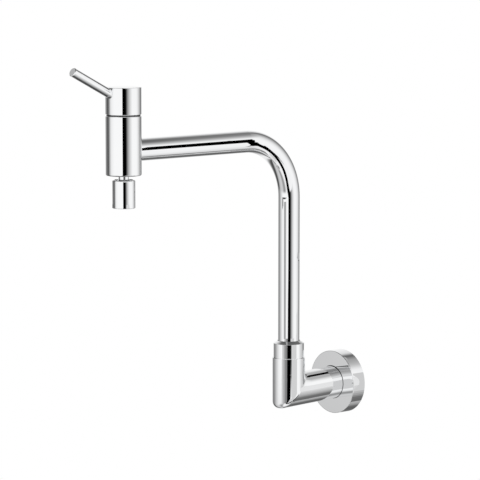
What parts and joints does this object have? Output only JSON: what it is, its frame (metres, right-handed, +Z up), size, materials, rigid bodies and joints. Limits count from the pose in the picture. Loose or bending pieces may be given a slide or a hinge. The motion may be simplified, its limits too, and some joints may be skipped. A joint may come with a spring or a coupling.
{
  "type": "wall-mounted kitchen faucet",
  "caption": "Chromed wall faucet: flange, mitred elbow, tall swivelling bent spout, and an upright end valve with a raised lever and a ball-jointed aerator.",
  "frame": {"origin": "middle of the wall flange, where the inlet's axis meets the wall face", "axes": "+Y out of the room into the wall along the inlet, +Z up, +X to the right of someone who faces the wall; the spout points along -Y at rest"},
  "size_m": [0.065, 0.371, 0.3702],
  "materials": {
    "chrome": "polished chrome plate on brass",
    "brass": "machined",
    "rubber": "moulded",
    "foam": "closed-cell foam",
    "white_plastic": "natural acetal",
    "black_plastic": "black acetal",
    "ceramic": "lapped alumina",
    "stainless_steel": "plain"
  },
  "bodies": {
    "wall_body": {"inlet_nipple": "brass", "escutcheon": "chrome", "wall_gasket": "foam", "flange_ring": "rubber", "elbow_body": "chrome", "lower_glide_ring": "white_plastic", "upper_glide_ring": "white_plastic", "gland_nut": "chrome"},
    "spout": {"swivel_tailpiece": "brass", "lower_swivel_ring": "rubber", "upper_swivel_ring": "rubber", "spout_tube": "chrome", "valve_body": "chrome", "guide_ring": "black_plastic", "cartridge_body": "brass", "seat_gasket": "rubber", "fixed_disc": "ceramic", "stud_washer": "rubber", "ball_stud": "chrome"},
    "handle": {"handle_cap": "chrome", "lever_rod": "chrome", "grub_screw": "stainless_steel", "screw_plug": "chrome", "spindle": "brass", "lower_stem_ring": "rubber", "upper_stem_ring": "rubber", "spindle_clip": "stainless_steel", "thrust_washer": "white_plastic", "moving_disc": "ceramic"},
    "swivel_ring": {"slip_ring": "black_plastic"},
    "aerator": {"aerator_shell": "chrome", "ball_seat": "white_plastic", "seat_washer": "rubber", "seat_follower": "brass", "insert_washer": "rubber", "aerator_insert": "white_plastic", "upper_screen": "stainless_steel", "lower_screen": "stainless_steel", "stream_grid": "white_plastic", "outlet_ring": "chrome"}
  },
  "joints": [
    {"name": "spout_swivel", "type": "hinge", "parent": "wall_body", "child": "spout", "pos_m": [0, -0.0766, 0], "axis": [0, 0, 1], "range_deg": [-90, 90]},
    {"name": "handle_turn", "type": "hinge", "parent": "spout", "child": "handle", "pos_m": [0, -0.2916, 0.256], "axis": [0, 0, 1], "range_deg": [0, 90]},
    {"name": "aerator_spin", "type": "hinge", "parent": "spout", "child": "swivel_ring", "pos_m": [0, -0.2916, 0.2205], "axis": [0, 0, 1], "continuous": true},
    {"name": "aerator_tilt", "type": "hinge", "parent": "swivel_ring", "child": "aerator", "pos_m": [0, -0.2916, 0.2205], "axis": [1, 0, 0], "range_deg": [-15, 15]}
  ]
}
